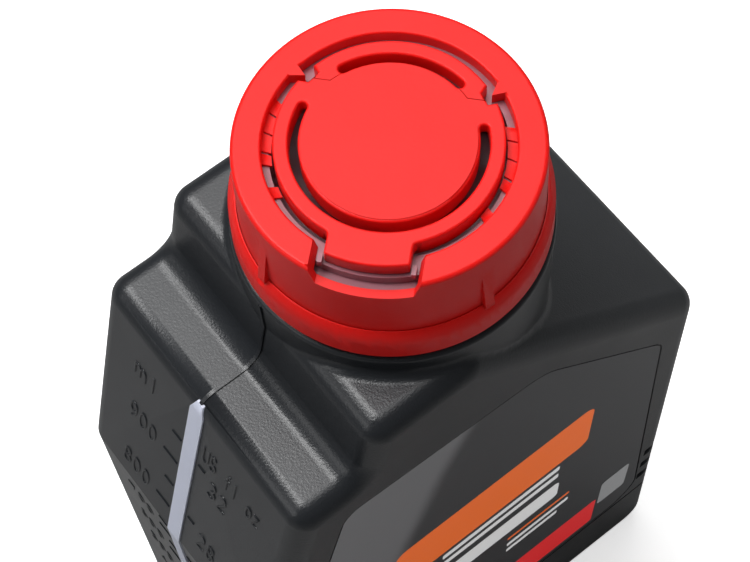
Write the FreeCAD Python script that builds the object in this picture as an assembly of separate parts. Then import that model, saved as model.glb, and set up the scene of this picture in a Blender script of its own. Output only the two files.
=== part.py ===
"""One-litre motor oil bottle: a blown dark bottle with a level strip and two labels, and a red
screw closure with a tamper band, a translucent inner cap and a centre lid that folds up.

Millimetres. +Z up, origin on the table under the cap's axis, wide front face towards -Y.
"""
import FreeCAD, Part
import math
import os

from FreeCAD import Vector

# Bottle body, outline in the XZ plane
half_width = 57.4
half_depth = 29.1
body_height = 198.3
left_lean = 2.25
right_lean = 5.4
lower_step_drop = 15.0
lower_step_inset = 15.6
crease_drop = 49.6
riser_foot_inset = 28.0
riser_top_inset = 31.3
slope_start_x = -4.8
slope_drop = 53.7
step_round = 4.4
riser_round = 4.8
slope_start_round = 6.5
slope_end_round = 8.0
base_round = 7.5
face_round = 4.3
crease_round = 1.6
wall = 1.3
base_recess_depth = 1.5
base_recess_margin = 11.0
foot_groove_height = 28.7
foot_groove_width = 1.1
foot_groove_depth = 0.5

# Collar and neck
collar_side_gap = 2.1
collar_rise = 5.1
collar_edge_round = 1.0
collar_foot_round = 2.2
neck_closure_space = 4.4
neck_wall = 1.7
neck_rise = 9.0
neck_bead_proud = 2.9
neck_bead_thickness = 1.0

# Parting line and level strip on the narrow left side
parting_rib_width = 0.7
parting_rib_proud = 0.3
strip_width = 3.7
strip_proud = 0.35
strip_sunk = 0.6
strip_tip_drop = 1.2
strip_tip_length = 2.4
strip_tip_width = 1.7
strip_tip_reach = 1.6
strip_bottom_height = 19.0

# Grip grooves low on the right end, wrapped round its corners
grip_count = 3
grip_lowest_height = 38.2
grip_pitch = 8.8
grip_width = 4.0
grip_depth = 0.8
grip_reach = 7.8

# Labels
label_thickness = 0.3
label_recess = 0.35
label_edge_gap = 0.4
label_bottom_gap = 1.1
label_left_margin = 11.0
label_right_margin = 7.9
label_shoulder_margin = 8.4
label_top_margin = 8.7
label_top_fall = 3.55
label_bend_shift = 15.4
label_corner_margin = 8.75
label_corner_drop = 9.2
label_round = 4.0
label_foot_round = 9.0
label_shoulder_round = 9.0
label_bend_round = 11.0

# Cap shell
shell_rise = 13.4
shell_collar_margin = 2.1
shell_taper = 0.45
shell_wall = 1.8
shell_plate = 2.3
shell_top_round = 0.8
shell_ring_width = 5.2
shell_edge_round = 0.4
notch_half_width = 8.55
notch_floor_half_width = 7.45
notch_depth = 3.5
tab_azimuth = 222.5
tooth_azimuths = (99.1, 348.9)
tooth_length = 1.9
tooth_slope_angle = 4.7
tooth_steep_angle = 1.4
fin_offsets = (-42.5, 45.8, 134.2, 222.5)
fin_width = 1.7
fin_drop = 4.7
fin_foot_proud = 1.0
fin_foot_height = 1.0
drive_block_spans = ((72.0, 79.0), (80.0, 89.0), (90.0, 99.0), (100.5, 106.0), (118.0, 124.0))
drive_block_slant = 2.5
drive_block_height = 0.5
drive_block_gap = 0.3

# Tamper band
band_gap = 1.1
band_height = 5.2
band_slope_rise = 1.35
band_wall = 1.35
band_seam = 0.12
band_foot_flare = 0.2
band_top_flat = 0.2
band_clearance = 0.2
band_lip_thickness = 0.8
band_lip_catch = 1.2

# Inner cap
rim_width = 3.1
rim_shell_gap = 1.4
rim_step = 1.9
inner_skirt_gap = 0.3
thread_room = 1.4
skirt_end_gap = 0.6
well_floor_thickness = 1.4
tower_radius = 7.5
tower_wall = 1.5
tower_height = 5.0
heel_pad_setback = 1.0
post_height = 1.3
post_thickness = 0.7
post_reach = 1.6

# Seal liner
seal_thickness = 1.0
seal_width = 4.2

# Centre lid and the heel it folds on
lid_rise = 0.7
lid_thickness = 2.2
tab_thickness = 2.7
rim_gap = 0.3
lid_side_gap = 1.85
disc_step = 0.2
tab_rim_margin = 0.5
tab_half_width = 6.5
tab_inner_round = 0.9
tab_corner_round = 0.4
lid_ring_width = 3.9
slot_width = 1.5
back_slot_azimuths = (4.0, 81.0)
front_slot_azimuths = (117.0, 329.0)
recess_depth = 1.45
recess_slope_angles = (7.6, 2.65)
recess_steep_angle = 5.2
recess_fold_margin = 0.15
lid_edge_round = 0.4
lid_wall = 0.9
lid_wall_drop = 3.7
fold_angle = 56.5
fold_gap = 0.12
sleeve_radius = 7.3
sleeve_wall = 1.3
sleeve_gap = 0.3

# Places that follow from the sizes above
TOP = Vector(0, 0, 1)
ORIGIN = Vector(0, 0, 0)
NEAR = 0.01
lower_step_height = body_height - lower_step_drop
crease_height = lower_step_height - crease_drop
slope_end_height = body_height - slope_drop
left_x = -half_width
crease_x = left_x + left_lean
lower_step_x = left_x + lower_step_inset
riser_foot_x = left_x + riser_foot_inset
riser_top_x = left_x + riser_top_inset
right_corner_x = half_width - right_lean
label_bottom_height = foot_groove_height + foot_groove_width + label_bottom_gap
collar_radius = half_depth - collar_side_gap
shell_skirt_radius = collar_radius - shell_collar_margin
shell_bore = shell_skirt_radius - shell_wall
shell_hole_radius = shell_skirt_radius - shell_ring_width
neck_radius = shell_bore - neck_closure_space
rim_radius = shell_bore - rim_shell_gap
rim_inner_radius = rim_radius - rim_width
tab_radius = rim_radius - tab_rim_margin
collar_height = body_height + collar_rise
neck_height = collar_height + neck_rise
neck_bore = neck_radius - neck_wall
neck_bead_radius = neck_radius + neck_bead_proud
band_bottom = collar_height + band_gap
band_top_edge = band_bottom + band_height
band_crease = band_top_edge + band_slope_rise
band_bore = shell_skirt_radius + band_seam
band_radius = band_bore + band_wall
band_lip_radius = neck_bead_radius - band_lip_catch
band_lip_top = band_bottom + band_lip_thickness
neck_bead_bottom = band_lip_top + band_clearance
neck_bead_top = neck_bead_bottom + neck_bead_thickness
shell_top = neck_height + shell_rise
shell_top_radius = shell_skirt_radius - shell_taper
under_plate = shell_top - shell_plate
lid_top = shell_top + lid_rise
lid_bottom = lid_top - lid_thickness
lid_radius = shell_hole_radius - lid_side_gap
tab_bottom = lid_top - tab_thickness
rim_top = tab_bottom - rim_gap
seal_top = neck_height + seal_thickness
well_floor = seal_top + well_floor_thickness
tower_top = well_floor + tower_height
inner_bore = neck_radius + thread_room
inner_skirt_radius = shell_bore - inner_skirt_gap
inner_skirt_bottom = neck_bead_top + skirt_end_gap
slot_inner_radius = lid_radius - lid_ring_width
slot_outer_radius = slot_inner_radius + slot_width
recess_inner_radius = lid_radius - recess_depth
fold_distance = recess_inner_radius * math.cos(math.radians(fold_angle))
lid_wall_bottom = lid_top - lid_wall_drop
back_azimuth = tab_azimuth - 180
fold_rim_angle = math.degrees(math.acos(fold_distance / lid_radius))
recess_rim_angle = tooth_azimuths[1] - 360 - back_azimuth + fold_rim_angle + recess_fold_margin


def rounded_wire(corners):
    """A closed wire through corners (point, radius), with a tangent arc at each rounded corner."""
    count = len(corners)
    bends = []
    for index, (point, radius) in enumerate(corners):
        before = (corners[index - 1][0] - point).normalize()
        after = (corners[(index + 1) % count][0] - point).normalize()
        half_turn = (math.pi - before.getAngle(after)) / 2
        reach = radius * math.tan(half_turn)
        middle = (before + after).normalize()
        depth = radius / math.cos(half_turn) - radius
        bends.append((point + before * reach, point + middle * depth, point + after * reach, radius))
    edges = []
    for index, (entry, middle, leave, radius) in enumerate(bends):
        if radius > 0:
            edges.append(Part.Arc(entry, middle, leave).toShape())
        edges.append(Part.makeLine(leave, bends[(index + 1) % count][0]))
    return Part.Wire(edges)


def offset_corners(corners, distance):
    """The clockwise outline moved outwards by distance (inwards if negative), radii following."""
    count = len(corners)
    moved = []
    for index, (point, radius) in enumerate(corners):
        before = (point - corners[index - 1][0]).normalize()
        after = (corners[(index + 1) % count][0] - point).normalize()
        out_before = Vector(-before.z, 0, before.x)
        out_after = Vector(-after.z, 0, after.x)
        middle = (out_before + out_after).normalize()
        new_point = point + middle * (distance / middle.dot(out_before))
        clockwise = before.x * after.z - before.z * after.x < 0
        new_radius = radius
        if radius > 0:
            new_radius = radius + distance if clockwise else radius - distance
        moved.append((new_point, new_radius))
    return moved


def slab(wire, start, end):
    """A wire in the XZ plane made solid between two Y places."""
    face = Part.Face(wire)
    face.translate(Vector(0, start, 0))
    return face.extrude(Vector(0, end - start, 0))


def prism(points, direction):
    """A straight solid from a closed run of points."""
    return Part.Face(Part.makePolygon(points + points[:1])).extrude(direction)


def revolved(points):
    """A solid of revolution about the cap's axis from (radius, height) points."""
    wire = Part.makePolygon([Vector(r, 0, z) for r, z in points + points[:1]])
    return Part.Face(wire).revolve(ORIGIN, TOP, 360)


def polar(radius, azimuth, z):
    """A point round the cap's axis."""
    angle = math.radians(azimuth)
    return Vector(radius * math.cos(angle), radius * math.sin(angle), z)


def turned(shape, azimuth):
    """A shape drawn towards +X, turned about the cap's axis to an azimuth."""
    copy = shape.copy()
    copy.rotate(ORIGIN, TOP, azimuth)
    return copy


def rounded(shape, radius, wanted):
    """Round the edges that wanted(edge) picks."""
    return shape.makeFillet(radius, [edge for edge in shape.Edges if wanted(edge)])


def middle_of(edge):
    """The point half way along an edge."""
    return edge.valueAt((edge.FirstParameter + edge.LastParameter) / 2)


def axis_distance(point):
    """How far a point stands from the cap's axis."""
    return math.hypot(point.x, point.y)


def body_corners():
    """Outline of the bottle seen from the front, clockwise from the lower left corner."""
    return [
        (Vector(left_x, 0, 0), base_round),
        (Vector(crease_x, 0, crease_height), 0),
        (Vector(lower_step_x, 0, lower_step_height), step_round),
        (Vector(riser_foot_x, 0, lower_step_height), riser_round),
        (Vector(riser_top_x, 0, body_height), step_round),
        (Vector(slope_start_x, 0, body_height), slope_start_round),
        (Vector(right_corner_x, 0, slope_end_height), slope_end_round),
        (Vector(half_width, 0, 0), base_round),
    ]


def body_block(inset):
    """The bottle's block, moved in by inset, with its crease, front and back edges rounded."""
    corners = offset_corners(body_corners(), -inset)
    face_y = half_depth - inset
    block = slab(rounded_wire(corners), -face_y, face_y)
    crease = corners[1][0]

    def on_crease(edge):
        return middle_of(edge).sub(crease).Length < NEAR

    def on_face(edge):
        box = edge.BoundBox
        return box.YLength < NEAR and abs(abs(box.YMin) - face_y) < NEAR

    return rounded(rounded(block, crease_round, on_crease), face_round - inset, on_face)


def collar_block():
    """Round collar that runs down into the shoulder, with its top edge rounded."""
    collar = Part.makeCylinder(collar_radius, collar_rise + slope_drop, Vector(0, 0, slope_end_height))
    return rounded(collar, collar_edge_round, lambda edge: edge.BoundBox.ZMin > collar_height - NEAR)


def neck_block():
    """Neck finish with the bead that the tamper band catches under."""
    neck = Part.makeCylinder(neck_radius, neck_rise + wall, Vector(0, 0, collar_height - wall))
    bead_edge = neck_bead_bottom + neck_bead_thickness / 3
    bead = revolved([(neck_bore, neck_bead_bottom), (neck_bead_radius, neck_bead_bottom),
                     (neck_bead_radius, bead_edge), (neck_radius, neck_bead_top),
                     (neck_bore, neck_bead_top)])
    return neck.fuse(bead)


def parting_rib():
    """Raised mould seam down the collar and the step to the strip's tip."""
    half = parting_rib_width / 2
    top = collar_height - collar_edge_round
    floor = lower_step_height - strip_tip_drop
    outline = slab(rounded_wire(offset_corners(body_corners(), parting_rib_proud)), -half, half)
    collar = Part.makeCylinder(collar_radius + parting_rib_proud, top)
    keep = Part.makeBox(half_width - neck_radius, 2 * half, top - floor, Vector(left_x, -half, floor))
    return outline.fuse(collar).common(keep)


def level_strip(proud, sunk):
    """Strip let into the narrow side, following it over the crease, with a tapered tip."""
    outer = slab(rounded_wire(offset_corners(body_corners(), proud)), -strip_width, strip_width)
    inner = slab(rounded_wire(offset_corners(body_corners(), -sunk)), -strip_width, strip_width)
    half = strip_width / 2
    tip = strip_tip_width / 2
    top = lower_step_height - strip_tip_drop
    bend = top - strip_tip_length
    start = left_x - proud
    outline = [Vector(start, -half, strip_bottom_height), Vector(start, half, strip_bottom_height),
               Vector(start, half, bend), Vector(start, tip, top),
               Vector(start, -tip, top), Vector(start, -half, bend)]
    keep = prism(outline, Vector(proud + lower_step_inset + strip_tip_reach, 0, 0))
    return outer.cut(inner).common(keep)


def groove(low, height, depth, start_x):
    """Level groove in the front face, the right end and the back face, from a place across."""
    band = Part.makeBox(2 * half_width, 4 * half_depth, height, Vector(start_x, -2 * half_depth, low))
    return band.common(body_block(0)).cut(body_block(depth))


def label_corners():
    """Outline of a label, inside the face's rounded edges and above the foot's groove."""
    left = left_x + label_left_margin
    top_left_z = lower_step_height - label_top_margin
    return [
        (Vector(left, 0, label_bottom_height), label_round),
        (Vector(left + left_lean, 0, crease_height), label_round),
        (Vector(lower_step_x + label_shoulder_margin, 0, top_left_z), label_round),
        (Vector(slope_start_x + label_bend_shift, 0, top_left_z - label_top_fall), label_bend_round),
        (Vector(right_corner_x - label_corner_margin, 0, slope_end_height - label_corner_drop),
         label_shoulder_round),
        (Vector(half_width - label_right_margin, 0, label_bottom_height), label_foot_round),
    ]


def label_panel(margin, start, end, side):
    """A label's outline grown by margin, between two depths under a face; side is -1 for the front."""
    wire = rounded_wire(offset_corners(label_corners(), margin))
    return slab(wire, side * (half_depth - start), side * (half_depth - end))


def base_recess():
    """Shallow push-up under the bottle."""
    recess = Part.makeBox(2 * (half_width - base_recess_margin), 2 * (half_depth - base_recess_margin),
                          base_recess_depth,
                          Vector(left_x + base_recess_margin, base_recess_margin - half_depth, 0))
    return rounded(recess, base_recess_depth * 0.8,
                   lambda edge: edge.BoundBox.ZMin > base_recess_depth - NEAR)


def bottle_body():
    """The blown bottle: block, collar and neck, hollowed, with its raised and sunk details."""
    outer = body_block(0).fuse(collar_block()).removeSplitter()
    foot_limit = collar_height - collar_edge_round - NEAR

    def on_collar_foot(edge):
        points = [vertex.Point for vertex in edge.Vertexes] + [middle_of(edge)]
        round_collar = all(abs(axis_distance(point) - collar_radius) < NEAR for point in points)
        return round_collar and edge.BoundBox.ZMax < foot_limit and edge.BoundBox.YLength > NEAR

    outer = rounded(outer, collar_foot_round, on_collar_foot)
    recess = base_recess()
    raised_floor = recess.copy()
    raised_floor.translate(Vector(0, 0, wall))
    collar_room = Part.makeCylinder(collar_radius - wall, collar_rise + slope_drop - wall,
                                    Vector(0, 0, slope_end_height))
    hollow = body_block(wall).fuse(collar_room).cut(raised_floor)
    bore = Part.makeCylinder(neck_bore, neck_rise + slope_drop, Vector(0, 0, body_height))
    grooves = [groove(grip_lowest_height + index * grip_pitch, grip_width, grip_depth,
                      half_width - grip_reach) for index in range(grip_count)]
    grooves.append(groove(foot_groove_height, foot_groove_width, foot_groove_depth,
                          left_x + label_left_margin))
    body = outer.fuse([neck_block(), parting_rib()])
    body = body.cut([hollow, bore, recess, level_strip(strip_proud, strip_sunk)] + grooves)
    for side in (-1, 1):
        body = body.cut(label_panel(label_edge_gap, -wall, label_recess, side))
    return body


def tamper_band():
    """Ring left on the neck, caught by an inward lip below the neck's bead."""
    return revolved([
        (band_lip_radius, band_bottom), (band_radius + band_foot_flare, band_bottom),
        (band_radius, band_top_edge), (band_bore + band_top_flat, band_crease),
        (band_bore, band_crease), (band_bore, band_lip_top), (band_lip_radius, band_lip_top),
    ])


def shell_fin():
    """Thin wedge on the skirt, drawn towards +X, whose foot stands just clear of the band."""
    top = shell_top - fin_drop
    slope_head = band_bore + band_top_flat
    reach = shell_skirt_radius + fin_foot_proud
    slope_share = (band_radius - reach) / (band_radius - slope_head)
    foot = band_top_edge + slope_share * band_slope_rise + band_clearance
    root = (shell_bore + shell_top_radius) / 2
    side = -fin_width / 2
    points = [Vector(root, side, top), Vector(shell_top_radius, side, top),
              Vector(reach, side, foot + fin_foot_height), Vector(reach, side, foot),
              Vector(slope_head, side, band_crease + band_clearance),
              Vector(root, side, band_crease + band_clearance)]
    return prism(points, Vector(0, fin_width, 0))


def shell_tooth(azimuth):
    """Barb on the edge of the shell's hole that points into the lid's recess."""
    root = (shell_hole_radius + rim_radius) / 2
    slope = azimuth + tooth_slope_angle
    steep = azimuth - tooth_steep_angle
    points = [polar(root, slope, under_plate), polar(shell_hole_radius, slope, under_plate),
              polar(shell_hole_radius - tooth_length, azimuth, under_plate),
              polar(shell_hole_radius, steep, under_plate), polar(root, steep, under_plate)]
    return prism(points, Vector(0, 0, shell_plate))


def drive_block(start, end):
    """Low block with slanted ends between two azimuths, deep in the gap round the lid."""
    inner = lid_radius + drive_block_gap
    outer = (shell_hole_radius + rim_radius) / 2
    middle = (start + end) / 2
    points = [polar(inner, start + drive_block_slant, under_plate),
              polar(inner, middle + drive_block_slant, under_plate),
              polar(inner, end + drive_block_slant, under_plate), polar(outer, end, under_plate),
              polar(outer, middle, under_plate), polar(outer, start, under_plate)]
    return prism(points, Vector(0, 0, drive_block_height))


def drive_blocks():
    """The rows of blocks on both sides of the lid, measured from the back."""
    blocks = []
    for start, end in drive_block_spans:
        blocks.append(drive_block(back_azimuth + start, back_azimuth + end))
        blocks.append(drive_block(back_azimuth - end, back_azimuth - start))
    return blocks


def notch_cutter():
    """Finger notch through the ring and skirt, drawn towards +X."""
    floor = shell_top - notch_depth
    above = shell_top + shell_plate
    start = recess_inner_radius
    points = [Vector(start, -notch_floor_half_width, floor), Vector(start, notch_floor_half_width, floor),
              Vector(start, notch_half_width, shell_top), Vector(start, notch_half_width, above),
              Vector(start, -notch_half_width, above), Vector(start, -notch_half_width, shell_top)]
    return prism(points, Vector(shell_skirt_radius, 0, 0))


def cap_shell():
    """Red outer cap: ring plate, skirt, finger notch, barbs, drive blocks and fins."""
    skirt_bottom = band_lip_top + skirt_end_gap
    shell = revolved([
        (shell_hole_radius, shell_top), (shell_top_radius, shell_top),
        (shell_skirt_radius, band_crease), (shell_skirt_radius, skirt_bottom),
        (shell_bore, skirt_bottom), (shell_bore, under_plate), (shell_hole_radius, under_plate),
    ])
    for radius, size in ((shell_top_radius, shell_top_round), (shell_hole_radius, shell_edge_round)):
        shell = rounded(shell, size, lambda edge: edge.BoundBox.ZMin > shell_top - NEAR
                        and abs(edge.BoundBox.XMax - radius) < NEAR)
    shell = shell.fuse([turned(shell_fin(), tab_azimuth + offset) for offset in fin_offsets])
    shell = shell.fuse([shell_tooth(azimuth) for azimuth in tooth_azimuths])
    shell = shell.fuse(drive_blocks())
    return shell.cut(turned(notch_cutter(), tab_azimuth)).removeSplitter()


def behind_line(distance):
    """Everything on the back side of a line across the cap."""
    size = shell_skirt_radius * 4
    box = Part.makeBox(size, size, size, Vector(distance, -size / 2, lid_top - size / 2))
    return turned(box, back_azimuth)


def rim_post(side):
    """Small upright on the inner cap's rim at one end of the finger notch, drawn towards +X."""
    start = rim_radius - post_reach - post_thickness
    y = side * (notch_floor_half_width - post_thickness / 2) - post_thickness / 2
    return Part.makeBox(post_reach, post_thickness, post_height, Vector(start, y, rim_top))


def inner_cap():
    """Translucent inner cap: stepped rim, skirt, sealing plate, well and pouring tower."""
    step = rim_top - rim_step
    orifice = tower_radius - tower_wall
    body = revolved([
        (orifice, seal_top), (inner_bore, seal_top), (inner_bore, inner_skirt_bottom),
        (inner_skirt_radius, inner_skirt_bottom), (inner_skirt_radius, step), (rim_radius, step),
        (rim_radius, rim_top), (rim_inner_radius, rim_top), (rim_inner_radius, well_floor),
        (tower_radius, well_floor), (tower_radius, tower_top), (orifice, tower_top),
    ])
    pad = revolved([
        (slot_outer_radius, seal_top), (inner_bore, seal_top), (inner_bore, rim_top),
        (slot_outer_radius, rim_top),
    ]).common(behind_line(fold_distance + heel_pad_setback))
    posts = [turned(rim_post(side), tab_azimuth) for side in (-1, 1)]
    return body.fuse([pad] + posts).removeSplitter()


def seal_liner():
    """Soft gasket pressed between the neck's rim and the inner cap's plate."""
    inside = neck_radius - seal_width
    return revolved([(inside, neck_height), (neck_radius, neck_height),
                     (neck_radius, seal_top), (inside, seal_top)])


def arc_slot(azimuths, floor, height):
    """Curved slot with round ends between two azimuths."""
    start, end = azimuths
    half = (start + end) / 2
    inner = [polar(slot_inner_radius, azimuth, floor) for azimuth in (start, half, end)]
    outer = [polar(slot_outer_radius, azimuth, floor) for azimuth in (end, half, start)]
    face = Part.Face(Part.Wire([
        Part.Arc(*inner).toShape(), Part.makeLine(inner[-1], outer[0]),
        Part.Arc(*outer).toShape(), Part.makeLine(outer[-1], inner[0]),
    ]))
    middle = (slot_inner_radius + slot_outer_radius) / 2
    ends = [Part.makeCylinder(slot_width / 2, height, polar(middle, azimuth, floor))
            for azimuth in azimuths]
    return face.extrude(Vector(0, 0, height)).fuse(ends)


def lid_recess(azimuth, floor, height):
    """Recess in the lid's edge that leaves room for the shell's barb."""
    outer = shell_hole_radius
    slope_outer, slope_inner = recess_slope_angles
    points = [polar(outer, azimuth + slope_outer, floor),
              polar(recess_inner_radius, azimuth + slope_inner, floor),
              polar(recess_inner_radius, azimuth - recess_steep_angle, floor),
              polar(lid_radius, azimuth - recess_rim_angle, floor),
              polar(outer, azimuth - recess_rim_angle, floor)]
    return prism(points, Vector(0, 0, height))


def centre_piece():
    """The whole red centre moulding, before the fold line parts it."""
    floor = rim_top
    height = lid_top - rim_top
    tab = Part.makeBox(tab_radius, 2 * tab_half_width, height, Vector(0, -tab_half_width, floor))
    tab = tab.common(Part.makeCylinder(tab_radius, height, Vector(0, 0, floor)))
    piece = Part.makeCylinder(lid_radius, height, Vector(0, 0, floor))
    piece = piece.fuse(turned(tab, tab_azimuth)).removeSplitter()

    def uprights(radius):
        reach = math.sqrt(radius ** 2 - tab_half_width ** 2)
        corners = [turned(Part.Vertex(reach, side * tab_half_width, 0), tab_azimuth).Point
                   for side in (-1, 1)]

        def wanted(edge):
            middle = middle_of(edge)
            middle.z = 0
            near_corner = min((middle - corner).Length for corner in corners) < NEAR
            return near_corner and edge.BoundBox.ZLength > height - NEAR
        return wanted

    piece = rounded(piece, tab_inner_round, uprights(lid_radius))
    piece = rounded(piece, tab_corner_round, uprights(tab_radius))
    cuts = [lid_recess(azimuth, floor, height) for azimuth in tooth_azimuths]
    cuts += [arc_slot(azimuths, floor, height) for azimuths in (back_slot_azimuths, front_slot_azimuths)]
    return rounded(piece.cut(cuts), lid_edge_round, lambda edge: edge.BoundBox.ZMin > lid_top - NEAR)


def lid_walls():
    """Thin walls under the lid along both sides of the slots and round the rim."""
    height = lid_bottom - lid_wall_bottom + NEAR

    def ring(inner, outer):
        solid = Part.makeCylinder(outer, height, Vector(0, 0, lid_wall_bottom))
        return solid.cut(Part.makeCylinder(inner, height, Vector(0, 0, lid_wall_bottom)))

    outer_rings = ring(slot_outer_radius, slot_outer_radius + lid_wall)
    outer_rings = outer_rings.fuse(ring(lid_radius - lid_wall, lid_radius))
    gaps = [behind_line(fold_distance - fold_gap / 2)]
    gaps += [lid_recess(azimuth, lid_wall_bottom, height) for azimuth in tooth_azimuths]
    return [ring(slot_inner_radius - lid_wall, slot_inner_radius), outer_rings.cut(gaps)]


def centre_lid_and_heel():
    """The lid that folds up, and the back arc that stays on the inner cap."""
    piece = centre_piece()
    floor = rim_top - lid_thickness
    tall = 3 * lid_thickness
    disc_zone = Part.makeCylinder(slot_inner_radius, tall, Vector(0, 0, floor))
    heel_zone = Part.makeCylinder(slot_inner_radius + fold_gap, tall, Vector(0, 0, floor))
    heel = piece.common(behind_line(fold_distance + fold_gap / 2)).cut(heel_zone)
    lid = piece.cut(behind_line(fold_distance - fold_gap / 2).cut(disc_zone))
    under_ring = Part.makeCylinder(lid_radius, lid_bottom - rim_top, Vector(0, 0, rim_top))
    under_tab = Part.makeCylinder(tab_radius, tab_bottom - rim_top, Vector(0, 0, rim_top))
    step = Part.makeCylinder(slot_inner_radius - lid_edge_round, 2 * disc_step,
                             Vector(0, 0, lid_top - disc_step))
    sleeve_bottom = tower_top + sleeve_gap
    sleeve_top = lid_bottom + disc_step
    inside = sleeve_radius - sleeve_wall
    sleeve = revolved([(inside, sleeve_bottom), (sleeve_radius, sleeve_bottom),
                       (sleeve_radius, sleeve_top), (inside, sleeve_top)])
    lid = lid.cut([under_ring, under_tab]).fuse([step, sleeve] + lid_walls())
    return lid.removeSplitter(), heel


def main():
    os.makedirs("parts", exist_ok=True)
    centre_lid, lid_heel = centre_lid_and_heel()
    sheet_top = label_recess - label_thickness
    nodes = {
        "bottle_body": bottle_body(),
        "level_strip": level_strip(strip_proud, strip_sunk),
        "front_label": label_panel(0, sheet_top, label_recess, -1),
        "back_label": label_panel(0, sheet_top, label_recess, 1),
        "tamper_band": tamper_band(),
        "cap_shell": cap_shell(),
        "inner_cap": inner_cap(),
        "seal_liner": seal_liner(),
        "centre_lid": centre_lid,
        "lid_heel": lid_heel,
    }
    for name, shape in nodes.items():
        shape.exportStep("parts/" + name + ".step")
        box = shape.BoundBox
        print(name, "solids", len(shape.Solids), "valid", shape.isValid(), "volume", round(shape.Volume),
              "z", round(box.ZMin, 2), round(box.ZMax, 2), "x", round(box.XMin, 2), round(box.XMax, 2),
              "y", round(box.YMin, 2), round(box.YMax, 2))


main()
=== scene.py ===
import bmesh
import bpy
import math
from mathutils import Matrix, Vector


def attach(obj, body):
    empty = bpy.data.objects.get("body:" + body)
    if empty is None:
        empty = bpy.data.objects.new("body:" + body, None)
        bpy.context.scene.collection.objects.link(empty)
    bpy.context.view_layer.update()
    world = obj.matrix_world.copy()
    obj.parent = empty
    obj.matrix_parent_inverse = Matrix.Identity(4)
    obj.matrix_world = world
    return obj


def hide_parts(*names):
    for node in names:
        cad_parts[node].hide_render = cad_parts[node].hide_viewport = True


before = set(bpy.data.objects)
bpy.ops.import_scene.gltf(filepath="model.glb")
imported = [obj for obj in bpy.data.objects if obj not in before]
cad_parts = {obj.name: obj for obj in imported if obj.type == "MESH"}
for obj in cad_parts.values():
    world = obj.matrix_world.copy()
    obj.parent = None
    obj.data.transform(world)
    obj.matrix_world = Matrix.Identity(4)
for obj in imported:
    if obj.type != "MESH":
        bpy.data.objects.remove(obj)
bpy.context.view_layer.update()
mm = 0.001

# Bottle body
# A blown high-density polyethylene bottle, dark grey all through, with a fine matte grain from
# the mould. It is one piece, and everything else is let into it, stuck to it or screwed on it.
body_grey = (0.016, 0.018, 0.021, 1)
body_roughness = 0.34
mould_grain_size = 0.00040
mould_grain_depth = 0.000045
smooth_limit = math.radians(34)
flat_limit = math.radians(0.6)


def grain_group():
    """Fine moulded grain as a bump, shared by the plastics: size and depth in metres."""
    group = bpy.data.node_groups.new("Moulded grain", "ShaderNodeTree")
    for name in ("Grain size", "Grain depth"):
        group.interface.new_socket(name=name, in_out="INPUT", socket_type="NodeSocketFloat")
    group.interface.new_socket(name="Normal", in_out="OUTPUT", socket_type="NodeSocketVector")
    group.interface.new_socket(name="Mottle", in_out="OUTPUT", socket_type="NodeSocketFloat")
    nodes, links = group.nodes, group.links
    given, made = nodes.new("NodeGroupInput"), nodes.new("NodeGroupOutput")
    place = nodes.new("ShaderNodeTexCoord")
    inverse = nodes.new("ShaderNodeMath")
    inverse.operation = "DIVIDE"
    inverse.inputs[0].default_value = 1
    fine = nodes.new("ShaderNodeTexNoise")
    fine.inputs["Detail"].default_value = 2
    broad = nodes.new("ShaderNodeTexNoise")
    broad.inputs["Scale"].default_value = 90
    bump = nodes.new("ShaderNodeBump")
    links.new(given.outputs["Grain size"], inverse.inputs[1])
    links.new(place.outputs["Object"], fine.inputs["Vector"])
    links.new(place.outputs["Object"], broad.inputs["Vector"])
    links.new(inverse.outputs[0], fine.inputs["Scale"])
    links.new(fine.outputs["Fac"], bump.inputs["Height"])
    links.new(given.outputs["Grain depth"], bump.inputs["Distance"])
    links.new(bump.outputs["Normal"], made.inputs["Normal"])
    links.new(broad.outputs["Fac"], made.inputs["Mottle"])
    return group


moulded_grain = grain_group()


def plastic(name, colour, roughness, grain_size, grain_depth):
    """Moulded plastic with a fine grain and a slightly uneven gloss."""
    material = bpy.data.materials.new(name)
    material.use_nodes = True
    nodes, links = material.node_tree.nodes, material.node_tree.links
    shader = nodes["Principled BSDF"]
    shader.inputs["Base Color"].default_value = colour
    grain = nodes.new("ShaderNodeGroup")
    grain.node_tree = moulded_grain
    grain.inputs["Grain size"].default_value = grain_size
    grain.inputs["Grain depth"].default_value = grain_depth
    gloss = nodes.new("ShaderNodeMapRange")
    gloss.inputs["To Min"].default_value = roughness - 0.04
    gloss.inputs["To Max"].default_value = roughness + 0.04
    links.new(grain.outputs["Mottle"], gloss.inputs["Value"])
    links.new(gloss.outputs["Result"], shader.inputs["Roughness"])
    links.new(grain.outputs["Normal"], shader.inputs["Normal"])
    return material


def finished(node, body, material, name):
    """A node's own mesh with its triangles joined, so that its rounds shade smoothly."""
    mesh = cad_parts[node].data.copy()
    joined = bmesh.new()
    joined.from_mesh(mesh)
    bmesh.ops.remove_doubles(joined, verts=joined.verts, dist=0.000001)
    bmesh.ops.dissolve_limit(joined, angle_limit=flat_limit, verts=joined.verts, edges=joined.edges)
    joined.to_mesh(mesh)
    joined.free()
    mesh.shade_smooth()
    mesh.set_sharp_from_angle(angle=smooth_limit)
    mesh.materials.clear()
    mesh.materials.append(material)
    rough = bpy.data.objects.new(name + "_rough", mesh)
    bpy.context.collection.objects.link(rough)
    weighted = rough.modifiers.new("Face weighted normals", "WEIGHTED_NORMAL")
    weighted.keep_sharp = True
    weighted.weight = 90
    seen = rough.evaluated_get(bpy.context.evaluated_depsgraph_get())
    piece = bpy.data.objects.new(name, bpy.data.meshes.new_from_object(seen))
    bpy.context.collection.objects.link(piece)
    bpy.data.objects.remove(rough)
    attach(piece, body)
    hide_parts(node)
    return piece


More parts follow.
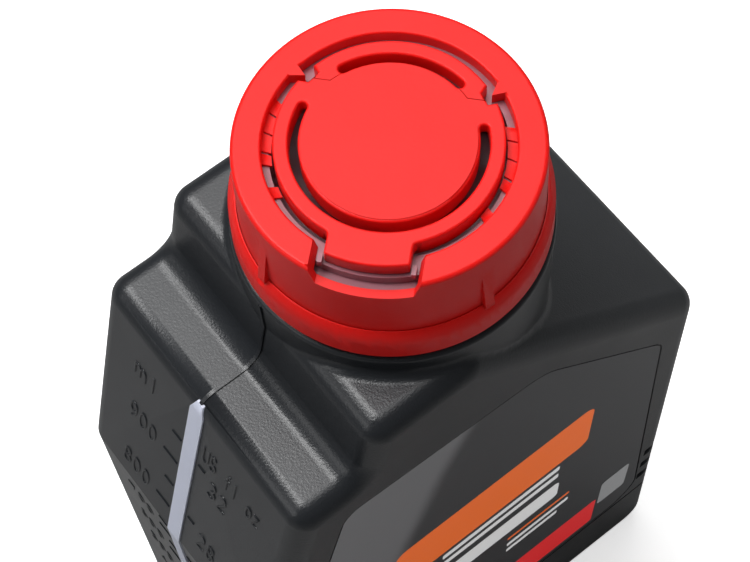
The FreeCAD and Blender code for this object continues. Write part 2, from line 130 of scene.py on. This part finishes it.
body_plastic = plastic("Dark bottle plastic", body_grey, body_roughness, mould_grain_size,
                       mould_grain_depth)
finished("bottle_body", "bottle", body_plastic, "bottle_shell")

# Level strip
# A narrow stripe of unpigmented polyethylene, extruded together with the dark wall, so that the
# oil level shows through it. It stands a hair proud and ends in a blunt tip at the step.
strip_colour = (0.68, 0.72, 0.88, 1)
strip_plastic = plastic("Pale strip plastic", strip_colour, 0.42, mould_grain_size, mould_grain_depth / 3)
strip_shader = strip_plastic.node_tree.nodes["Principled BSDF"]
strip_shader.inputs["Subsurface Weight"].default_value = 0.3
strip_shader.inputs["Subsurface Radius"].default_value = (1, 1, 1)
strip_shader.inputs["Subsurface Scale"].default_value = 0.002
finished("level_strip", "bottle", strip_plastic, "level_stripe")

# Scale marks and numbers
# Raised on the narrow side by the mould: millilitre lines behind the strip, fluid ounce lines in
# front of it, and numbers in thin round strokes beside them. The numbers have the body's own
# plastic, and the lines a duller one, because they read as dark lines.
crease_point = Vector((-55.15, 0, 133.7))
side_top = Vector((-41.8, 0, 183.3))
side_foot = Vector((-57.4, 0, 0))
full_scale_mark, full_scale_height = 800, 140.7
rise_per_millilitre_above = 0.168
rise_per_millilitre_below = 0.166
crease_mark = 757
ounce = 29.574
stroke_radius = 0.28
stroke_sink = 0.06
tick_start = 2.65
digit_height = 4.7
digit_width = 2.05
digit_pitch = 2.95
ounce_drop_below = 1.6
ounce_drop_above = 2.7
first_mark, last_mark, mark_step = 100, 950, 50
numbered_step = 100
long_tick_end = 6.9
short_tick_end = 5.3
number_start = -17.4
number_drop = 0.4
ounce_step, last_ounces = 4, 32
ounce_tick_end = 4.6
ounce_number_start = 6.3
millilitre_start, millilitre_height = -17.5, 171.4
ounce_sign_start, ounce_sign_height = 3.3, 170.7


def level_height(millilitres):
    """Height of a level mark on the side, in millimetres."""
    if millilitres >= crease_mark:
        return full_scale_height + (millilitres - full_scale_mark) * rise_per_millilitre_above
    at_crease = full_scale_height + (crease_mark - full_scale_mark) * rise_per_millilitre_above
    return at_crease + (millilitres - crease_mark) * rise_per_millilitre_below


def on_side(across, height):
    """The point of the narrow side at a distance across from the strip's middle and a height."""
    low, high = (crease_point, side_top) if height > crease_point.z else (side_foot, crease_point)
    share = (height - low.z) / (high.z - low.z)
    along = (high - low).normalized()
    out = Vector((-along.z, 0, along.x))
    return (low + (high - low) * share + Vector((0, -across, 0)) - out * stroke_sink) * mm


def arc(cx, cy, rx, ry, start, end, steps=14):
    """Points of an elliptical stroke, in parts of a digit's height."""
    angles = [math.radians(start + (end - start) * step / steps) for step in range(steps + 1)]
    return [(cx + rx * math.cos(angle), cy + ry * math.sin(angle)) for angle in angles]


glyph_strokes = {
    "0": [arc(0.5, 0.5, 0.46, 0.5, 90, 450, 22)],
    "1": [[(0.25, 0.82), (0.55, 1), (0.55, 0)]],
    "2": [arc(0.5, 0.72, 0.44, 0.28, 165, -28) + [(0.04, 0), (0.98, 0)]],
    "3": [arc(0.45, 0.75, 0.42, 0.25, 150, -90) + arc(0.45, 0.25, 0.5, 0.25, 90, -150)],
    "4": [[(0.72, 0), (0.72, 1), (0.02, 0.28), (0.98, 0.28)]],
    "5": [[(0.9, 1), (0.2, 1), (0.12, 0.56)] + arc(0.45, 0.3, 0.48, 0.3, 125, -145)],
    "6": [arc(0.5, 0.3, 0.45, 0.3, 150, 510, 20), arc(0.9, 0.4, 0.86, 0.6, 100, 195)],
    "7": [[(0.04, 1), (0.96, 1), (0.36, 0)]],
    "8": [arc(0.5, 0.76, 0.38, 0.24, 90, 450, 18), arc(0.5, 0.26, 0.47, 0.26, 90, 450, 18)],
    "9": [arc(0.5, 0.7, 0.45, 0.3, 150, 510, 20), arc(0.1, 0.6, 0.86, 0.6, -80, 15)],
    "m": [[(0, 0), (0, 0.66)], arc(0.25, 0.4, 0.25, 0.26, 180, 0) + [(0.5, 0)],
          arc(0.75, 0.4, 0.25, 0.26, 180, 0) + [(1, 0)]],
    "l": [[(0.5, 0), (0.5, 1)]],
    "U": [[(0.05, 1), (0.05, 0.35)] + arc(0.5, 0.35, 0.45, 0.35, 180, 360) + [(0.95, 1)]],
    "S": [arc(0.5, 0.74, 0.42, 0.26, 30, 270) + arc(0.5, 0.25, 0.46, 0.25, 90, -150)],
    "f": [arc(0.75, 0.75, 0.3, 0.25, 70, 180) + [(0.45, 0)], [(0.15, 0.62), (0.85, 0.62)]],
    "o": [arc(0.5, 0.33, 0.42, 0.33, 90, 450, 18)],
    "z": [[(0.1, 0.64), (0.9, 0.64), (0.1, 0), (0.9, 0)]],
    " ": [],
}


def add_stroke(curve, points):
    """One stroke laid on the narrow side; points are (across, height) in millimetres."""
    spline = curve.splines.new("POLY")
    spline.points.add(len(points) - 1)
    for point, (across, height) in zip(spline.points, points):
        point.co = (*on_side(across, height), 1)


def write(curve, text, start, height, size=digit_height, width=digit_width, pitch=digit_pitch):
    """Plain letters from a start distance across, centred on a height."""
    for index, letter in enumerate(text):
        left = start + index * pitch
        for stroke in glyph_strokes[letter]:
            add_stroke(curve, [(left + x * width, height + (y - 0.5) * size) for x, y in stroke])


def stroke_curve(name):
    """An empty curve whose strokes come out as thin round ridges."""
    curve = bpy.data.curves.new(name, "CURVE")
    curve.dimensions = "3D"
    curve.bevel_depth = stroke_radius * mm
    curve.bevel_resolution = 1
    curve.use_fill_caps = True
    return curve


def laid_on(curve, name, material):
    """The strokes of a curve as a mesh that moves with the bottle."""
    drawn = bpy.data.objects.new(name + "_curve", curve)
    bpy.context.collection.objects.link(drawn)
    seen = drawn.evaluated_get(bpy.context.evaluated_depsgraph_get())
    piece = bpy.data.objects.new(name, bpy.data.meshes.new_from_object(seen))
    bpy.context.collection.objects.link(piece)
    bpy.data.objects.remove(drawn)
    piece.data.materials.clear()
    piece.data.materials.append(material)
    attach(piece, "bottle")


marks = stroke_curve("Scale numbers")
ticks = stroke_curve("Scale lines")
for level in range(first_mark, last_mark + 1, mark_step):
    reach = long_tick_end if level % numbered_step == 0 else short_tick_end
    add_stroke(ticks, [(-tick_start, level_height(level)), (-reach, level_height(level))])
    if level % numbered_step == 0:
        write(marks, str(level), number_start, level_height(level) - number_drop)
for ounces in range(ounce_step, last_ounces + 1, ounce_step):
    height = level_height(ounces * ounce)
    add_stroke(ticks, [(tick_start, height), (ounce_tick_end, height)])
    start = ounce_number_start if ounces > 9 else ounce_number_start + digit_pitch / 2
    drop = ounce_drop_above if height > crease_point.z else ounce_drop_below
    write(marks, str(ounces), start, height - drop)
write(marks, "ml", millilitre_start, millilitre_height, pitch=3.9, width=3.1)
write(marks, "US fl oz", ounce_sign_start, ounce_sign_height, pitch=2.1, width=1.6)
tick_plastic = plastic("Dark line plastic", body_grey, 0.8, mould_grain_size, mould_grain_depth)
tick_plastic.node_tree.nodes["Principled BSDF"].inputs["Specular IOR Level"].default_value = 0.1
laid_on(marks, "scale_numbers", body_plastic)
laid_on(ticks, "scale_lines", tick_plastic)

# Labels
# Thin printed film moulded into a shallow panel of the wide faces. The front's print is dark with
# a grey sweep, a large orange field, white lines, a silver patch and a red box, as plain shapes.
label_dark = (0.016, 0.017, 0.019, 1)
label_grey = (0.12, 0.12, 0.125, 1)
print_orange = (0.98, 0.16, 0.008, 1)
print_white = (0.90, 0.90, 0.90, 1)
print_red = (0.88, 0.012, 0.016, 1)
print_silver = (0.31, 0.315, 0.32, 1)
sweep_turn = math.radians(-19)
sweep_start, sweep_end = -0.055, -0.049
front_fields = [
    (print_orange, -24.0, 26.9, 106.0, 128.0, 3.0),
    (print_white, -12.2, 19.6, 101.3, 104.0, 0.6),
    (print_white, -12.2, 19.6, 96.4, 99.1, 0.6),
    (print_white, -24.0, 20.4, 82.3, 92.1, 1.6),
    (print_orange, 6.5, 24.5, 76.0, 77.4, 0.3),
    (print_white, 6.5, 24.5, 71.2, 73.4, 0.5),
    (print_white, 6.5, 21.5, 66.8, 69.0, 0.5),
    (print_silver, 36.2, 44.8, 44.0, 60.0, 1.4),
    (print_red, -38.0, 35.4, 33.0, 50.2, 1.2),
]
back_fields = [
    (print_red, -34.0, 36.0, 132.0, 142.0, 1.2),
    (print_orange, -34.0, 6.0, 122.0, 126.0, 0.8),
    (print_white, -34.0, 36.0, 112.0, 113.6, 0.4),
    (print_white, -34.0, 36.0, 106.5, 108.1, 0.4),
    (print_white, -34.0, 36.0, 101.0, 102.6, 0.4),
    (print_white, -34.0, 14.0, 95.5, 97.1, 0.4),
    (print_white, -34.0, 36.0, 84.0, 85.6, 0.4),
    (print_white, -34.0, 36.0, 78.5, 80.1, 0.4),
    (print_white, -34.0, 2.0, 73.0, 74.6, 0.4),
    (print_silver, -34.0, -12.0, 34.0, 54.0, 1.2),
    (print_white, 6.0, 36.0, 34.0, 54.0, 1.2),
]


def field_group():
    """Mask of one printed field: a rounded rectangle in the label's X and Z, in millimetres."""
    group = bpy.data.node_groups.new("Printed field", "ShaderNodeTree")
    for name in ("Left", "Right", "Bottom", "Top", "Corner"):
        group.interface.new_socket(name=name, in_out="INPUT", socket_type="NodeSocketFloat")
    group.interface.new_socket(name="Mask", in_out="OUTPUT", socket_type="NodeSocketFloat")
    nodes, links = group.nodes, group.links
    given, made = nodes.new("NodeGroupInput"), nodes.new("NodeGroupOutput")
    place = nodes.new("ShaderNodeTexCoord")
    split = nodes.new("ShaderNodeSeparateXYZ")
    links.new(place.outputs["Object"], split.inputs[0])

    def maths(operation, *inputs):
        node = nodes.new("ShaderNodeMath")
        node.operation = operation
        for socket, value in zip(node.inputs, inputs):
            if isinstance(value, bpy.types.NodeSocket):
                links.new(value, socket)
            else:
                socket.default_value = value
        return node.outputs[0]

    outside = []
    for axis, low, high in (("X", "Left", "Right"), ("Z", "Bottom", "Top")):
        at = maths("MULTIPLY", split.outputs[axis], 1 / mm)
        centre = maths("MULTIPLY", maths("ADD", given.outputs[low], given.outputs[high]), 0.5)
        half = maths("MULTIPLY", maths("SUBTRACT", given.outputs[high], given.outputs[low]), 0.5)
        inner = maths("SUBTRACT", half, given.outputs["Corner"])
        gap = maths("SUBTRACT", maths("ABSOLUTE", maths("SUBTRACT", at, centre)), inner)
        outside.append(maths("MAXIMUM", gap, 0))
    across, up = outside
    squared = maths("ADD", maths("MULTIPLY", across, across), maths("MULTIPLY", up, up))
    edge = maths("SUBTRACT", given.outputs["Corner"], maths("SQRT", squared))
    mask = maths("MULTIPLY_ADD", edge, 12, 0.5)
    node = nodes.new("ShaderNodeClamp")
    links.new(mask, node.inputs["Value"])
    links.new(node.outputs[0], made.inputs["Mask"])
    return group


printed_field = field_group()


def printed_film(name, fields):
    """Dark film with a soft grey sweep, overprinted with fields of colour."""
    material = bpy.data.materials.new(name)
    material.use_nodes = True
    nodes, links = material.node_tree.nodes, material.node_tree.links
    shader = nodes["Principled BSDF"]
    shader.inputs["Roughness"].default_value = 0.33
    place = nodes.new("ShaderNodeTexCoord")
    mapping = nodes.new("ShaderNodeMapping")
    mapping.inputs["Rotation"].default_value = (0, sweep_turn, 0)
    split = nodes.new("ShaderNodeSeparateXYZ")
    bend = nodes.new("ShaderNodeTexNoise")
    bend.inputs["Scale"].default_value = 14
    sweep = nodes.new("ShaderNodeMapRange")
    sweep.interpolation_type = "SMOOTHSTEP"
    sweep.inputs["From Min"].default_value = sweep_start
    sweep.inputs["From Max"].default_value = sweep_end
    links.new(place.outputs["Object"], mapping.inputs["Vector"])
    links.new(mapping.outputs["Vector"], split.inputs[0])
    links.new(place.outputs["Object"], bend.inputs["Vector"])
    shift = nodes.new("ShaderNodeMath")
    shift.operation = "MULTIPLY_ADD"
    shift.inputs[1].default_value = 0.02
    links.new(bend.outputs["Fac"], shift.inputs[0])
    links.new(split.outputs["X"], shift.inputs[2])
    links.new(shift.outputs[0], sweep.inputs["Value"])
    ground = nodes.new("ShaderNodeMix")
    ground.data_type = "RGBA"
    ground.inputs["A"].default_value = label_grey
    ground.inputs["B"].default_value = label_dark
    links.new(sweep.outputs["Result"], ground.inputs["Factor"])
    colour = ground.outputs["Result"]
    for ink, left, right, bottom, top, corner in fields:
        mask = nodes.new("ShaderNodeGroup")
        mask.node_tree = printed_field
        for socket, value in zip(("Left", "Right", "Bottom", "Top", "Corner"),
                                 (left, right, bottom, top, corner)):
            mask.inputs[socket].default_value = value
        layer = nodes.new("ShaderNodeMix")
        layer.data_type = "RGBA"
        layer.inputs["B"].default_value = ink
        links.new(mask.outputs["Mask"], layer.inputs["Factor"])
        links.new(colour, layer.inputs["A"])
        colour = layer.outputs["Result"]
    links.new(colour, shader.inputs["Base Color"])
    return material


front_film = printed_film("Front label film", front_fields)
back_film = printed_film("Back label film", back_fields)
front_print = finished("front_label", "bottle", front_film, "front_label_film")
finished("back_label", "bottle", back_film, "back_label_film")

# Tamper band
# The lower ring of the red polypropylene closure, joined to the skirt by small bridges until it
# is first opened. It stays on the neck under the bead.
closure_red = (0.84, 0.012, 0.010, 1)
closure_roughness = 0.38
closure_shine = 0.21
closure_grain_size = 0.00050
closure_grain_depth = 0.000016
red_plastic = plastic("Red closure plastic", closure_red, closure_roughness, closure_grain_size,
                      closure_grain_depth)
red_shader = red_plastic.node_tree.nodes["Principled BSDF"]
red_shader.inputs["Specular IOR Level"].default_value = closure_shine
red_shader.inputs["Subsurface Weight"].default_value = 0.3
red_shader.inputs["Subsurface Radius"].default_value = (1, 0.1, 0.05)
red_shader.inputs["Subsurface Scale"].default_value = 0.0012
finished("tamper_band", "tamper_ring", red_plastic, "tamper_band_ring")

# Cap shell
# Red injection-moulded outer cap with a finger notch in its ring and thin fins on its skirt,
# clipped over the inner cap.
finished("cap_shell", "cap", red_plastic, "cap_outer")

# Centre lid and heel
# One red moulding seen inside the ring: the lid with its finger tab folds up on a thin web, and
# the back arc stays clipped to the inner cap.
finished("centre_lid", "lid", red_plastic, "centre_lid_moulding")
finished("lid_heel", "cap", red_plastic, "lid_heel_arc")

# Inner cap
# Unpigmented polypropylene, milky where it is thin. Its colour is a dark reddish purple, whose red
# is a painted reflection of the red parts around it. It carries the pouring tower, and shows in the
# notch and at the bottom of the slots.
milky_tint_with_painted_red_bounce = (0.32, 0.12, 0.15, 1)
inner_plastic = plastic("Milky inner plastic with painted red bounce", milky_tint_with_painted_red_bounce, 0.32, closure_grain_size, 0)
inner_shader = inner_plastic.node_tree.nodes["Principled BSDF"]
inner_shader.inputs["Subsurface Weight"].default_value = 0.4
inner_shader.inputs["Subsurface Radius"].default_value = (1, 0.6, 0.7)
inner_shader.inputs["Subsurface Scale"].default_value = 0.002
finished("inner_cap", "cap", inner_plastic, "inner_cap_moulding")

# Seal liner
# A soft foamed ring held in the inner cap against the neck's rim.
liner_white = (0.72, 0.72, 0.70, 1)
liner_foam = plastic("Foamed liner", liner_white, 0.7, mould_grain_size, mould_grain_depth)
finished("seal_liner", "cap", liner_foam, "seal_liner_ring")

# Screw thread
# One rounded right-hand ridge moulded on the neck, hidden until the cap is lifted off. The inner
# cap's own thread isn't made.
thread_pitch = 4.0
thread_turns = 1.15
thread_facets = 72
neck_thread_radius = 18.75
neck_thread_start = 207.4
neck_ridge_thickness = 0.5


def thread_tree():
    """A ridge wound round the cap's axis: a spiral swept with a small round profile."""
    tree = bpy.data.node_groups.new("Wound ridge", "GeometryNodeTree")
    for name in ("Ridge radius", "Turns", "Rise", "Start height", "Ridge thickness"):
        tree.interface.new_socket(name=name, in_out="INPUT", socket_type="NodeSocketFloat")
    tree.interface.new_socket(name="Plastic", in_out="INPUT", socket_type="NodeSocketMaterial")
    tree.interface.new_socket(name="Geometry", in_out="OUTPUT", socket_type="NodeSocketGeometry")
    nodes, links = tree.nodes, tree.links
    given, made = nodes.new("NodeGroupInput"), nodes.new("NodeGroupOutput")
    spiral = nodes.new("GeometryNodeCurveSpiral")
    spiral.inputs["Resolution"].default_value = thread_facets
    profile = nodes.new("GeometryNodeCurvePrimitiveCircle")
    profile.inputs["Resolution"].default_value = 8
    sweep = nodes.new("GeometryNodeCurveToMesh")
    sweep.inputs["Fill Caps"].default_value = True
    lift = nodes.new("GeometryNodeTransform")
    corner = nodes.new("ShaderNodeCombineXYZ")
    realize = nodes.new("GeometryNodeRealizeInstances")
    paint = nodes.new("GeometryNodeSetMaterial")
    links.new(given.outputs["Ridge radius"], spiral.inputs["Start Radius"])
    links.new(given.outputs["Ridge radius"], spiral.inputs["End Radius"])
    links.new(given.outputs["Turns"], spiral.inputs["Rotations"])
    links.new(given.outputs["Rise"], spiral.inputs["Height"])
    links.new(given.outputs["Ridge thickness"], profile.inputs["Radius"])
    links.new(spiral.outputs["Curve"], sweep.inputs["Curve"])
    links.new(profile.outputs["Curve"], sweep.inputs["Profile Curve"])
    links.new(sweep.outputs["Mesh"], lift.inputs["Geometry"])
    links.new(given.outputs["Start height"], corner.inputs["Z"])
    links.new(corner.outputs[0], lift.inputs["Translation"])
    links.new(lift.outputs["Geometry"], realize.inputs["Geometry"])
    links.new(realize.outputs["Geometry"], paint.inputs["Geometry"])
    links.new(given.outputs["Plastic"], paint.inputs["Material"])
    links.new(paint.outputs["Geometry"], made.inputs["Geometry"])
    return tree


wound_ridge = thread_tree()


def thread(name, body, material, radius, start, thickness):
    """A wound ridge as a plain mesh on one body; sizes in millimetres."""
    carrier = bpy.data.objects.new(name + "_path", bpy.data.meshes.new(name + "_path"))
    bpy.context.collection.objects.link(carrier)
    winding = carrier.modifiers.new("Winding", "NODES")
    winding.node_group = wound_ridge
    values = {"Ridge radius": radius * mm, "Turns": thread_turns, "Rise": thread_pitch * thread_turns * mm,
              "Start height": start * mm, "Ridge thickness": thickness * mm, "Plastic": material}
    for item in wound_ridge.interface.items_tree:
        if item.in_out == "INPUT":
            winding[item.identifier] = values[item.name]
    seen = carrier.evaluated_get(bpy.context.evaluated_depsgraph_get())
    piece = bpy.data.objects.new(name, bpy.data.meshes.new_from_object(seen))
    bpy.context.collection.objects.link(piece)
    bpy.data.objects.remove(carrier)
    joined = bmesh.new()
    joined.from_mesh(piece.data)
    bmesh.ops.recalc_face_normals(joined, faces=joined.faces)
    joined.to_mesh(piece.data)
    joined.free()
    piece.data.shade_smooth()
    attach(piece, body)
    return piece


thread("neck_thread", "bottle", body_plastic, neck_thread_radius, neck_thread_start,
       neck_ridge_thickness)

# Studio
# Not part of the object: a pale floor, a dim even surround, a large soft panel overhead, a narrow
# brighter one behind on the left for the long highlights, weaker ones on the left and in front,
# one that lights the front label alone, and the camera of the photograph.
unit = 0.8152
cap_top = 225.0
focal_pixels = 1784.49
image_width = 750
image_centre = (375, 281)
cap_pixel = (389.17, 144.88)
camera_azimuth = math.radians(-34.07)
camera_elevation = math.radians(65.34)
camera_roll = math.radians(-4.19)
camera_distance = 334.58
floor_colour = (0.93, 0.93, 0.93, 1)
surround_light = 0.07
floor_bounce = (0.33, 0.33, 0.33, 1)
floor_glow = (0.6, 0.6, 0.6, 1)

floor_mesh = bpy.data.meshes.new("Floor")
reach = 4
floor_mesh.from_pydata([(-reach, -reach, 0), (reach, -reach, 0), (reach, reach, 0), (-reach, reach, 0)],
                       [], [(0, 1, 2, 3)])
floor = bpy.data.objects.new("floor", floor_mesh)
bpy.context.collection.objects.link(floor)
floor_paint = bpy.data.materials.new("Pale floor")
floor_paint.use_nodes = True
floor_shader = floor_paint.node_tree.nodes["Principled BSDF"]
floor_ray = floor_paint.node_tree.nodes.new("ShaderNodeLightPath")
floor_tone = floor_paint.node_tree.nodes.new("ShaderNodeMix")
floor_tone.data_type = "RGBA"
floor_tone.inputs["A"].default_value = floor_bounce
floor_tone.inputs["B"].default_value = floor_colour
floor_paint.node_tree.links.new(floor_ray.outputs["Is Camera Ray"], floor_tone.inputs["Factor"])
floor_paint.node_tree.links.new(floor_tone.outputs["Result"], floor_shader.inputs["Base Color"])
floor_shader.inputs["Emission Color"].default_value = floor_glow
floor_paint.node_tree.links.new(floor_ray.outputs["Is Camera Ray"], floor_shader.inputs["Emission Strength"])
floor_shader.inputs["Roughness"].default_value = 0.9
floor_shader.inputs["Specular IOR Level"].default_value = 0.1
floor_mesh.materials.append(floor_paint)

world = bpy.data.worlds.new("Bright surround")
bpy.context.scene.world = world
world.use_nodes = True
world_nodes, world_links = world.node_tree.nodes, world.node_tree.links
backdrop = world_nodes["Background"]
backdrop.inputs["Color"].default_value = (1, 1, 1, 1)
ray = world_nodes.new("ShaderNodeLightPath")
strength = world_nodes.new("ShaderNodeMapRange")
strength.inputs["To Min"].default_value = surround_light
strength.inputs["To Max"].default_value = 1
world_links.new(ray.outputs["Is Camera Ray"], strength.inputs["Value"])
world_links.new(strength.outputs["Result"], backdrop.inputs["Strength"])


def panel(name, direction, distance, width, height, power):
    """A soft panel light that faces the bottle's shoulder from a direction."""
    light = bpy.data.lights.new(name, "AREA")
    light.shape = "RECTANGLE"
    light.size = width
    light.size_y = height
    light.energy = power
    lamp = bpy.data.objects.new(name, light)
    bpy.context.collection.objects.link(lamp)
    away = Vector(direction).normalized()
    lamp.location = away * distance + Vector((0, 0, 0.17))
    lamp.rotation_mode = "QUATERNION"
    lamp.rotation_quaternion = away.to_track_quat("Z", "Y")
    return lamp


panel("Panel overhead behind", (0.14, 0.32, 0.95), 1.1, 0.9, 1.0, 8.6)
panel("Panel behind left", (-0.26, 0.35, 0.89), 1.0, 0.24, 0.62, 6.2)
panel("Panel left", (-0.9, 0.15, 0.45), 1.2, 0.6, 0.5, 1.9)
front_fill = panel("Panel front", (0.3, -0.9, 0.35), 1.3, 1.0, 0.7, 2.1)
front_fill.visible_glossy = False
print_fill = panel("Panel on the print", (0.3, -0.9, 0.35), 1.3, 1.0, 0.7, 10.5)
print_fill.visible_glossy = False
lit_print = bpy.data.collections.new("Lit print")
lit_print.objects.link(front_print)
print_fill.light_linking.receiver_collection = lit_print

back = Vector((math.sin(camera_azimuth) * math.cos(camera_elevation),
               -math.cos(camera_azimuth) * math.cos(camera_elevation), math.sin(camera_elevation)))
level_right = Vector((math.cos(camera_azimuth), math.sin(camera_azimuth), 0))
level_up = back.cross(level_right)
right = math.cos(camera_roll) * level_right + math.sin(camera_roll) * level_up
up = -math.sin(camera_roll) * level_right + math.cos(camera_roll) * level_up
across_offset = (cap_pixel[0] - image_centre[0]) * camera_distance / focal_pixels
down_offset = (cap_pixel[1] - image_centre[1]) * camera_distance / focal_pixels
place = (back * camera_distance - right * across_offset + up * down_offset) * unit
place.z += cap_top
turn = Matrix((right, up, back)).transposed()
camera = bpy.data.cameras.new("Photo camera")
camera.sensor_width = 36
camera.lens = 36 * focal_pixels / image_width
camera.clip_start = 0.01
camera_object = bpy.data.objects.new("Photo camera", camera)
bpy.context.collection.objects.link(camera_object)
camera_object.matrix_world = Matrix.Translation(place * mm) @ turn.to_4x4()
bpy.context.scene.camera = camera_object
bpy.context.scene.view_settings.view_transform = "Standard"
